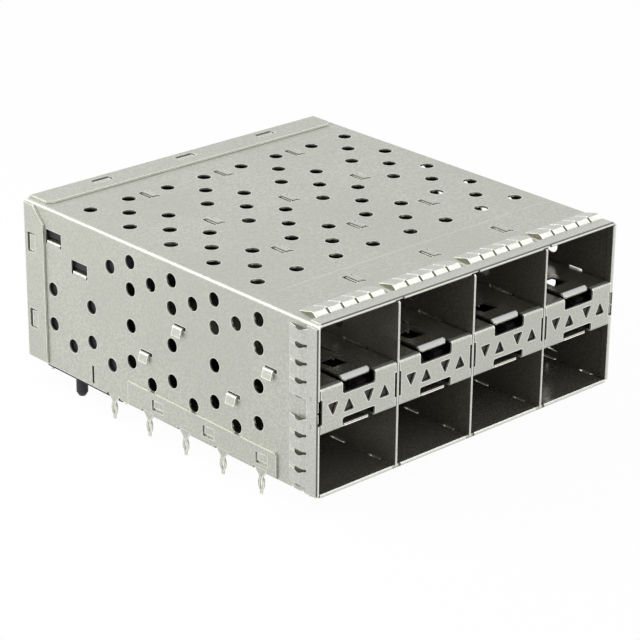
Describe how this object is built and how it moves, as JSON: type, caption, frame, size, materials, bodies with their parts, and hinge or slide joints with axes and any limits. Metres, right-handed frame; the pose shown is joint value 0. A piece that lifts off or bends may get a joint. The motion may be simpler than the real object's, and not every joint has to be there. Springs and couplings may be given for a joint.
{
  "type": "sfp cage",
  "caption": "Stacked two-row cage for pluggable transceiver modules: vented folded steel box with separators, spring gaskets, board pins and black card-edge connectors.",
  "frame": {"origin": "on the host board's top face, at the middle of the line of locating pegs and of the width", "axes": "+Z away from the board, -Y out of the port mouths, +X to the right seen from the mouths"},
  "size_m": [0.0586, 0.0634, 0.029],
  "materials": {
    "sheet_metal": "satin tin or nickel plate",
    "spring_metal": "bright plate",
    "housing": "moulded liquid crystal polymer",
    "contact_metal": "gold flash",
    "light_pipe": "clear polycarbonate, smoky where it is dark behind"
  },
  "bodies": {
    "root": {"cage_shell": "sheet_metal", "rear_cover": "sheet_metal", "bottom_plate": "sheet_metal", "divider_left": "sheet_metal", "divider_middle": "sheet_metal", "divider_right": "sheet_metal", "separator_1": "sheet_metal", "separator_2": "sheet_metal", "separator_3": "sheet_metal", "separator_4": "sheet_metal", "emi_spring_top": "spring_metal", "emi_spring_bottom": "spring_metal", "emi_spring_left_upper": "spring_metal", "emi_spring_left_lower": "spring_metal", "emi_spring_right_upper": "spring_metal", "emi_spring_right_lower": "spring_metal", "connector_1": "housing", "connector_2": "housing", "connector_3": "housing", "connector_4": "housing", "contacts_1": "contact_metal", "contacts_2": "contact_metal", "contacts_3": "contact_metal", "contacts_4": "contact_metal", "light_pipes_1": "light_pipe", "light_pipes_2": "light_pipe", "light_pipes_3": "light_pipe", "light_pipes_4": "light_pipe"}
  },
  "joints": []
}
